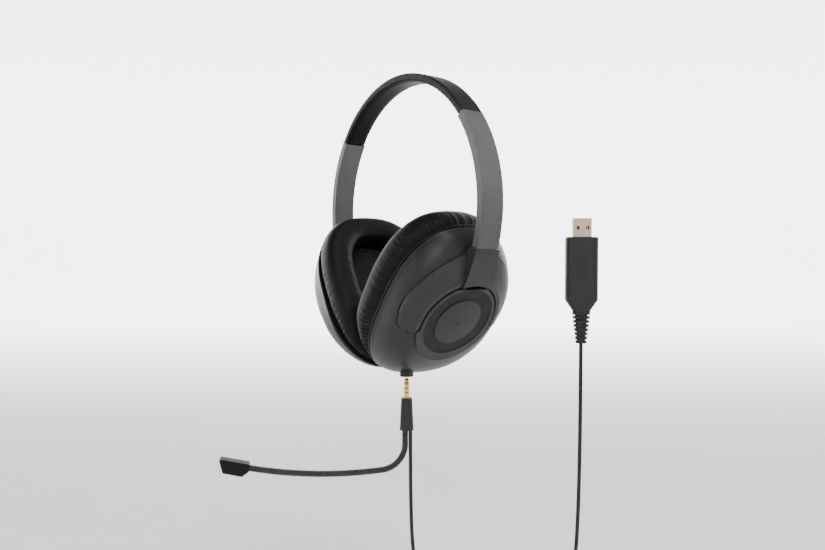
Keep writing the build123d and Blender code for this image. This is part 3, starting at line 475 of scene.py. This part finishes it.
def soft_minimum(first, second, width):
    """The lesser of two values, with a rounded change between them."""
    share = min(1.0, max(0.0, 0.5 + 0.5 * (second - first) / width))
    return second + (first - second) * share - width * share * (1 - share)


# ---------------------------------------------------------------- ear cushions

def outline(turn, half_width, top, bottom):
    """A point of the cup's rounded D outline, as (across, up)."""
    across = signed_power(math.cos(turn), 2 / OUTLINE_SQUARENESS)
    along = signed_power(math.sin(turn), 2 / OUTLINE_SQUARENESS)
    taper = 1 - OUTLINE_TAPER * along
    return half_width * across * taper, (top + bottom) / 2 + (top - bottom) / 2 * along


def cup_point(side, across, up, level):
    """A point in the row's frame from a cup's own directions; level is the distance in from the disc."""
    point = CUP_FACE + CUP_UP * up - CUP_OUT * level
    return Vector((side * point.x, across, point.z))


def level_at_middle(up):
    """The level at which a cushion would meet the other one."""
    return (CUP_FACE.x + CUP_UP.x * up - MIDDLE_GAP) / CUP_OUT.x


CUSHION_AROUND = 540
CUSHION_SECTION = 60
SECTION_SQUARENESS = 2.7        # of the section's width
CROWN_SQUARENESS = 2.5          # of the section's height
BASE_NARROWING = (0.16, 0.30)   # how far the base is drawn in, towards the opening and outside
PRESSED_ROUNDING = 0.004
WRINKLE_DEPTH = 0.0004
WRINKLE_SCALE = 130
GATHERS_ROUND = 96
FINER_GATHERS = 67
GATHER_DEPTH = 0.0006
OPENING_GATHER_DEPTH = 0.0003
SEAM_DEPTH = 0.00055
SEAM_HEIGHT = 0.86              # a share of the section's height, as is its width
SEAM_WIDTH = 0.03
MEAN_RADIUS = 0.045             # turns a depth into a share of the outline
HEM_OUTLINE = (0.0449, 0.0569, -0.0609)
HEM_LEVEL = 0.0256
HEM_RADIUS = 0.00105
HEM_RIPPLE = 0.00012
HEM_SIDES = 12
CLOTH_OUTLINE = (0.0285, 0.0405, -0.0390)
CLOTH_LEVEL = 0.0266
CLOTH_DOME = 0.0006
CLOTH_RIPPLE = 0.00012
CLOTH_THICKNESS = 0.0003
CLOTH_AROUND = 96
CLOTH_RINGS = 18


def cushion_rings(side):
    """Rings round the cushion: a crowned section with a gathered base, pressed flat at the middle."""
    rings = []
    for i in range(CUSHION_AROUND):
        turn = 2 * math.pi * i / CUSHION_AROUND
        outer = outline(turn, *CUSHION_OUTER)
        inner = outline(turn, *CUSHION_INNER)
        drift = noise.noise(Vector((math.cos(turn) * 3, math.sin(turn) * 3, side * 5.0)))
        pull = 0.55 + 0.45 * noise.noise(Vector((math.cos(turn) * 6, math.sin(turn) * 6, side * 9.0)))
        gather = (math.sin(GATHERS_ROUND * turn + 6 * drift) * 0.6
                  + math.sin(FINER_GATHERS * turn - 8 * drift + 1.0) * 0.4)
        ring = []
        for j in range(CUSHION_SECTION):
            around = 2 * math.pi * j / CUSHION_SECTION
            share = 0.5 + 0.5 * signed_power(math.cos(around), 2 / SECTION_SQUARENESS)
            height = 0.5 + 0.5 * signed_power(math.sin(around), 2 / CROWN_SQUARENESS)
            drawn_in = BASE_NARROWING[share > 0.5] * (1 - smoothstep(0.0, 0.4, height))
            share = 0.5 + (share - 0.5) * (1 - drawn_in)
            across = inner[0] + (outer[0] - inner[0]) * share
            up = inner[1] + (outer[1] - inner[1]) * share
            top_level = soft_minimum(CUSHION_FACE, level_at_middle(up), PRESSED_ROUNDING)
            spot = Vector((across * WRINKLE_SCALE, up * WRINKLE_SCALE, side * 2.0))
            wrinkle = WRINKLE_DEPTH * noise.noise(spot)
            level = CUSHION_BASE + (top_level - CUSHION_BASE) * height - abs(wrinkle) * height
            at_base = (1 - smoothstep(0.25, 0.75, height)) * smoothstep(0.55, 0.85, share)
            in_opening = (1 - smoothstep(0.3, 0.8, height)) * (1 - smoothstep(0.1, 0.35, share))
            inset = (GATHER_DEPTH * gather * pull * at_base
                     + OPENING_GATHER_DEPTH * gather * pull * in_opening)
            seam = math.exp(-((height - SEAM_HEIGHT) / SEAM_WIDTH) ** 2) * (1 - smoothstep(0.2, 0.4, share))
            squeeze = 1 - (inset + SEAM_DEPTH * seam) / MEAN_RADIUS
            ring.append(cup_point(side, across * squeeze, up * squeeze, level))
        rings.append(ring)
    return rings


def tube_rings(centres, radius, sides):
    """Rings of a round tube round a closed loop of centres."""
    rings = []
    count = len(centres)
    for i, centre in enumerate(centres):
        along = (centres[(i + 1) % count] - centres[i - 1]).normalized()
        first = along.cross(Vector((0, 0, 1))).normalized()
        second = along.cross(first)
        ring = []
        for j in range(sides):
            turn = 2 * math.pi * j / sides
            ring.append(centre + (first * math.cos(turn) + second * math.sin(turn)) * radius)
        rings.append(ring)
    return rings


def cushion_hem(side, word):
    """The rolled hem that hooks the cushion's cover round the baffle."""
    name = word + "_cushion_hem"
    centres = []
    for i in range(CUSHION_AROUND):
        turn = 2 * math.pi * i / CUSHION_AROUND
        across, up = outline(turn, *HEM_OUTLINE)
        ripple = HEM_RIPPLE * math.sin(GATHERS_ROUND * turn)
        centres.append(cup_point(side, across, up, HEM_LEVEL + ripple))
    mesh = grid_mesh(name, tube_rings(centres, HEM_RADIUS, HEM_SIDES))
    return new_piece(name, mesh, "cushion_velour", word + "_cup")


def ear_cloth(side, word):
    """The cloth over the driver's opening, drawn over the baffle and a little domed."""
    name = word + "_ear_cloth"
    mesh = bpy.data.meshes.new(name)
    points = [cup_point(side, 0.0, 0.0, CLOTH_LEVEL + CLOTH_DOME)]
    faces = []
    for ring in range(1, CLOTH_RINGS + 1):
        share = ring / CLOTH_RINGS
        for i in range(CLOTH_AROUND):
            across, up = outline(2 * math.pi * i / CLOTH_AROUND, *CLOTH_OUTLINE)
            ripple = CLOTH_RIPPLE * noise.noise(Vector((across * share * 90, up * 90, 3.0)))
            dome = CLOTH_DOME * (1 - share ** 2) + ripple
            points.append(cup_point(side, across * share, up * share, CLOTH_LEVEL + dome))
    for i in range(CLOTH_AROUND):
        faces.append((0, 1 + i, 1 + (i + 1) % CLOTH_AROUND))
    for ring in range(CLOTH_RINGS - 1):
        here = 1 + ring * CLOTH_AROUND
        there = here + CLOTH_AROUND
        for i in range(CLOTH_AROUND):
            after = (i + 1) % CLOTH_AROUND
            faces.append((here + i, there + i, there + after, here + after))
    mesh.from_pydata([tuple(point) for point in points], [], faces)
    piece = new_piece(name, mesh, "screen_cloth", word + "_cup")
    thickness = piece.modifiers.new("cloth_thickness", "SOLIDIFY")
    thickness.thickness = CLOTH_THICKNESS
    thickness.offset = 0.0
    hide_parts(word + "_ear_screen")
    return piece


def make_cushions():
    """Both ear cushions with their hems and the cloth inside them."""
    for side, word in ((1, "left"), (-1, "right")):
        name = word + "_soft_cushion"
        cushion = new_piece(name, grid_mesh(name, cushion_rings(side)), "cushion_velour", word + "_cup")
        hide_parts(word + "_ear_cushion")
        cushion_hem(side, word)
        ear_cloth(side, word)


# ---------------------------------------------------------------- head pad

PAD_STEPS = 190
PAD_SECTION = 56
PAD_THICKNESS = 0.00158
PAD_CROWN = 0.0003
PAD_END_SHARE = 0.35            # of the thickness that is left at the very ends
PAD_END_LENGTH = 0.0022
PRESSED_DEPTH = 0.00045
PRESSED_INSET = 0.0016
PRESSED_WIDTH = 0.0004
PAD_WRINKLE = 0.00007


def make_head_pad():
    """The thin foam pad under the crown: a crowned strip with a pressed line near each edge."""
    rings = []
    for i in range(PAD_STEPS + 1):
        share = i / PAD_STEPS
        angle = PAD_END + (math.pi - 2 * PAD_END) * share
        end = min(share, 1 - share) * (math.pi - 2 * PAD_END) * PAD_INNER
        full = PAD_END_SHARE + (1 - PAD_END_SHARE) * smoothstep(0.0, PAD_END_LENGTH, end)
        ring = []
        for j in range(PAD_SECTION):
            around = 2 * math.pi * j / PAD_SECTION
            y = PAD_HALF_WIDTH * signed_power(math.cos(around), 0.34)
            side = signed_power(math.sin(around), 0.8)
            edge = PAD_HALF_WIDTH - abs(y)
            if side >= 0:
                radius = PAD_OUTER
            else:
                crown = PAD_CROWN * (1 - (y / PAD_HALF_WIDTH) ** 2)
                pressed = PRESSED_DEPTH * math.exp(-((edge - PRESSED_INSET) / PRESSED_WIDTH) ** 2)
                wrinkle = PAD_WRINKLE * noise.noise(Vector((y * 220, angle * 14, 1.0)))
                radius = PAD_OUTER + side * (PAD_THICKNESS + crown - pressed + wrinkle) * full
            ring.append(Vector((radius * math.cos(angle), y, BAND_CENTRE_Z + radius * math.sin(angle))))
        rings.append(ring)
    mesh = grid_mesh("crown_pad", rings, close_rings=False, cap_ends=True)
    pad = new_piece("crown_pad", mesh, "head_pad", "headband")
    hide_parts("head_pad")


# ---------------------------------------------------------------- boom

RIB_PITCH = 0.0015
RIB_DEPTH = 0.00045
STEPS_PER_RIB = 6
SLEEVE_SIDES = 22
boom_heading = Vector((math.cos(BOOM_HEADING), math.sin(BOOM_HEADING), 0.0))
boom_side = Vector((boom_heading.y, -boom_heading.x, 0.0))
boom_start = JACK + WIDTH_DIR * BOOM_OFFSET + Vector((0.0, 0.0, HOUSING_BOTTOM))
boom_lengths = (BOOM_DROP, BOOM_BEND_RADIUS * BOOM_BEND, BOOM_SWEEP_RADIUS * BOOM_SWEEP)
split_length = boom_lengths[0] + boom_lengths[1] + 0.25 * boom_lengths[2]


def boom_at(length):
    """The boom's centre line at a length from the housing: its place and its direction."""
    if length <= boom_lengths[0]:
        forward, down, angle = 0.0, length, math.pi
    elif length <= boom_lengths[0] + boom_lengths[1]:
        angle = math.pi + (length - boom_lengths[0]) / BOOM_BEND_RADIUS
        forward = BOOM_BEND_RADIUS * (1 + math.cos(angle))
        down = BOOM_DROP - BOOM_BEND_RADIUS * math.sin(angle)
    else:
        first = math.pi + BOOM_BEND
        angle = first + (length - boom_lengths[0] - boom_lengths[1]) / BOOM_SWEEP_RADIUS
        forward = (BOOM_BEND_RADIUS * (1 + math.cos(first))
                   + BOOM_SWEEP_RADIUS * (math.cos(angle) - math.cos(first)))
        down = (BOOM_DROP - BOOM_BEND_RADIUS * math.sin(first)
                - BOOM_SWEEP_RADIUS * (math.sin(angle) - math.sin(first)))
    place = boom_start + boom_heading * forward - Vector((0.0, 0.0, down))
    direction = boom_heading * -math.sin(angle) + Vector((0.0, 0.0, math.cos(angle)))
    return place, direction


def ribbed_tube(name, start, end):
    """The gooseneck's sleeve between two lengths, with a ring of rubber every rib pitch."""
    count = round((end - start) / RIB_PITCH * STEPS_PER_RIB)
    rings = []
    for i in range(count + 1):
        length = start + (end - start) * i / count
        place, direction = boom_at(length)
        upward = direction.cross(boom_side)
        groove = (0.5 + 0.5 * math.cos(2 * math.pi * length / RIB_PITCH)) ** 2
        radius = SLEEVE_RADIUS - RIB_DEPTH * groove
        ring = []
        for j in range(SLEEVE_SIDES):
            turn = 2 * math.pi * j / SLEEVE_SIDES
            ring.append(place + (boom_side * math.cos(turn) + upward * math.sin(turn)) * radius)
        rings.append(ring)
    return grid_mesh(name, rings, close_rings=False, cap_ends=True)


def make_gooseneck():
    """The sleeve in two pieces: the first through the drop, the bend and a quarter of the sweep, the second
    along the rest.
    """
    full_length = sum(boom_lengths)
    name = "gooseneck_sleeve_root"
    root = new_piece(name, ribbed_tube(name, 0.0, split_length), "gooseneck_rubber", None)
    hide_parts("gooseneck_root", "gooseneck_middle")
    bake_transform(root)
    name = "gooseneck_sleeve_tip"
    tip = new_piece(name, ribbed_tube(name, split_length, full_length), "gooseneck_rubber", None)
    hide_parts("gooseneck_tip")
    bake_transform(tip)


# ---------------------------------------------------------------- cord

cord_exit = JACK + WIDTH_DIR * CORD_OFFSET + Vector((0.0, 0.0, HOUSING_BOTTOM))
to_usb = Vector((USB_AXIS.x - cord_exit.x, USB_AXIS.y - cord_exit.y, 0.0))
span = to_usb.length
hank_dir = to_usb.normalized()
hank_across = Vector((-hank_dir.y, hank_dir.x, 0.0))
hank_margin = (span - HANK_LENGTH) / 2
HANK_FOLDS = (0.0137, 0.0110, 0.0082)


def along_hank(distance, z, across=0.0):
    """A point on or near the line between the cord's two hanging stretches."""
    place = cord_exit + hank_dir * distance + hank_across * across
    return Vector((place.x, place.y, z))


# Each turn's fold, as a place in HANK_FOLDS, and its place across the hank in strand pitches, in the
# order that the cord passes them.
HANK_STRANDS = [(0, -0.5), (1, -1.5), (2, -1.5), (2, -0.5), (1, -0.5), (1, 0.5), (2, 0.5), (2, 1.5),
                (1, 1.5)]
RUN_SHARES = (0.0, 0.12, 0.5, 0.88, 1.0)
FOLD_SWELL = 1 / 0.925          # a control point stands this much outside the fold that it makes
FOLD_UNEVENNESS = 0.0004


def hank_points():
    """The folded cord: each turn runs out and back, and moves to the next place at the near fold."""
    run_start = hank_margin + HANK_FOLDS[0] + CORD_DIAMETER / 2
    run_end = hank_margin + HANK_LENGTH - HANK_FOLDS[0] - CORD_DIAMETER / 2
    run = run_end - run_start
    middle_z = HANK_Z - HANK_FOLDS[0]
    fold_turns = [math.radians(angle) for angle in (67.5, 22.5, -22.5, -67.5)]
    points = []
    for number, (ring, place) in enumerate(HANK_STRANDS):
        radius, across = HANK_FOLDS[ring], place * STRAND_PITCH
        uneven = FOLD_UNEVENNESS * math.sin(2.4 * number + 0.6)
        for share in RUN_SHARES:
            if number == 0 and share == 0.0:
                continue
            points.append(along_hank(run_start + run * share, middle_z + radius, across))
        for turn in fold_turns:
            points.append(along_hank(run_end + (radius * FOLD_SWELL + uneven) * math.cos(turn),
                                     middle_z + radius * FOLD_SWELL * math.sin(turn), across))
        for share in reversed(RUN_SHARES):
            points.append(along_hank(run_start + run * share, middle_z - radius, across))
        following = HANK_STRANDS[number + 1] if number + 1 < len(HANK_STRANDS) else (0, 0.5)
        for step, turn in enumerate(reversed(fold_turns)):
            share = (step + 0.5) / 4
            fold = radius + (HANK_FOLDS[following[0]] - radius) * share
            moved = across + (following[1] * STRAND_PITCH - across) * share
            points.append(along_hank(run_start - fold * FOLD_SWELL * math.cos(turn),
                                     middle_z + fold * FOLD_SWELL * math.sin(turn), moved))
    last = 0.5 * STRAND_PITCH
    for share in RUN_SHARES[:-1]:
        points.append(along_hank(run_start + run * share, HANK_Z, last))
    return points


def make_cord():
    """One cord from the microphone's plug, down through the tied hank and up to the USB plug."""
    route = [along_hank(0.0, HOUSING_BOTTOM)]
    route += [along_hank(inward, z) for inward, z in MIC_CORD_HANG]
    route += [along_hank(hank_margin, HANK_Z)]
    route += hank_points()
    route += [along_hank(span - hank_margin, HANK_Z)]
    route += [along_hank(span - inward, z) for inward, z in reversed(USB_CORD_HANG)]
    route += [along_hank(span, RELIEF_BOTTOM)]
    curve = bpy.data.curves.new("cord", "CURVE")
    curve.dimensions = "3D"
    spline = curve.splines.new("NURBS")
    spline.points.add(len(route) - 1)
    for point, place in zip(spline.points, route):
        point.co = (*place, 1.0)
    spline.order_u = 3
    spline.use_endpoint_u = True
    curve.resolution_u = 8
    curve.bevel_depth = CORD_DIAMETER / 2
    curve.bevel_resolution = 4
    curve.use_fill_caps = True
    curve.materials.append(finishes["cord_jacket"])
    cord = bpy.data.objects.new("cord", curve)
    bpy.context.scene.collection.objects.link(cord)
    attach(cord, "mic_unit")
    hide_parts("mic_cord", "cord_hank", "usb_cord")
    return cord


TIE_STEPS = 72
TIE_TURNS = 1.16
TIE_START = 1.2                 # the turn, in radians, at which its inner end lies
TIE_HALF_HEIGHT = 0.0154
TIE_HALF_ACROSS = 0.0060
TIE_HALF_WIDTH = 0.0055
TIE_THICKNESS = 0.0009
TIE_LIFT = 0.0011


def make_tie():
    """A hook-and-loop strap round the middle of the hank, with its end pressed over itself."""
    middle = along_hank(span / 2, HANK_Z - HANK_FOLDS[0])
    rings = []
    for i in range(TIE_STEPS + 1):
        turn = 2 * math.pi * (i / TIE_STEPS * TIE_TURNS) + TIE_START
        lift = TIE_LIFT * smoothstep(0.80, 0.90, i / TIE_STEPS)
        out = hank_across * (TIE_HALF_ACROSS + lift) * signed_power(math.cos(turn), 0.5)
        rise = (TIE_HALF_HEIGHT + lift) * signed_power(math.sin(turn), 0.42)
        centre = middle + out + Vector((0, 0, rise))
        away = (centre - middle).normalized()
        ring = []
        for along, height in ((-1, 0), (-0.9, 1), (0.9, 1), (1, 0), (0.9, -0.2), (-0.9, -0.2)):
            ring.append(centre + hank_dir * TIE_HALF_WIDTH * along + away * TIE_THICKNESS * height)
        rings.append(ring)
    return new_piece("hank_tie", grid_mesh("hank_tie", rings, close_rings=False, cap_ends=True),
                     "plug_rubber", "mic_unit")


# ---------------------------------------------------------------- stage and light

FLOOR_GAP = 0.0005
FLOOR_AROUND = 96
# The floor's section: how far out from the middle, and how high above the floor.
FLOOR_SECTION = ((0.0001, 0.0), (1.4, 0.0), (2.2, 0.0), (2.6, 0.05), (2.9, 0.2), (3.1, 0.5), (3.2, 1.0),
                 (3.25, 2.6))


def make_stage():
    """A wide pale floor that curves up into a wall all round, brightest behind the headset."""
    floor_z = cad_box[0][2] - FLOOR_GAP
    rings = []
    for radius, rise in FLOOR_SECTION:
        ring = []
        for i in range(FLOOR_AROUND):
            turn = 2 * math.pi * i / FLOOR_AROUND
            ring.append(Vector((radius * math.cos(turn), radius * math.sin(turn), floor_z + rise)))
        rings.append(ring)
    floor = bpy.data.objects.new("floor", grid_mesh("floor", rings, close_rings=False))
    bpy.context.scene.collection.objects.link(floor)
    shade_smooth(floor.data)
    shader = Shader("pale_floor", roughness=0.9, specular=0.1)
    tone = shader.ramp(shader.noise(4.0), [(0.3, (0.88, 0.88, 0.88)), (0.7, (0.91, 0.91, 0.91))])
    behind = shader.node("ShaderNodeVectorMath", operation="DOT_PRODUCT")
    shader.link(shader.place, behind.inputs[0])
    behind.inputs[1].default_value = (CAMERA_TARGET - CAMERA_AT).normalized()
    glow = shader.node("ShaderNodeMapRange", interpolation_type="SMOOTHSTEP")
    limits = (("From Min", GLOW_FROM), ("From Max", GLOW_TO), ("To Min", 0.0), ("To Max", GLOW))
    for socket, value in limits:
        glow.inputs[socket].default_value = value
    shader.link(behind.outputs["Value"], glow.inputs["Value"])
    shader.bsdf.inputs["Emission Color"].default_value = (1.0, 1.0, 1.0, 1.0)
    shader.link(glow.outputs["Result"], shader.bsdf.inputs["Emission Strength"])
    floor.data.materials.append(shader.finish(tone))


def area_light(name, place, target, size, power):
    """A square soft light that faces a point."""
    data = bpy.data.lights.new(name, "AREA")
    data.size = size
    data.energy = power
    light = bpy.data.objects.new(name, data)
    light.location = place
    light.rotation_euler = (Vector(target) - Vector(place)).to_track_quat("-Z", "Y").to_euler()
    bpy.context.scene.collection.objects.link(light)


def make_light():
    """A dim room, a soft light high over the headset, and one behind and above the camera."""
    world = bpy.data.worlds.new("studio")
    world.use_nodes = True
    world.node_tree.nodes["Background"].inputs["Color"].default_value = (1.0, 1.0, 1.0, 1.0)
    world.node_tree.nodes["Background"].inputs["Strength"].default_value = ROOM_LIGHT
    bpy.context.scene.world = world
    area_light("overhead", (0.40, 0.20, 1.20), LIT_PLACE, size=0.8, power=9.0)
    area_light("key", (0.95, -0.75, 0.75), LIT_PLACE, size=0.9, power=9.0)


finish_nodes()
cord = make_cord()
tie = make_tie()
make_cushions()
make_head_pad()
make_gooseneck()
make_stage()
make_light()
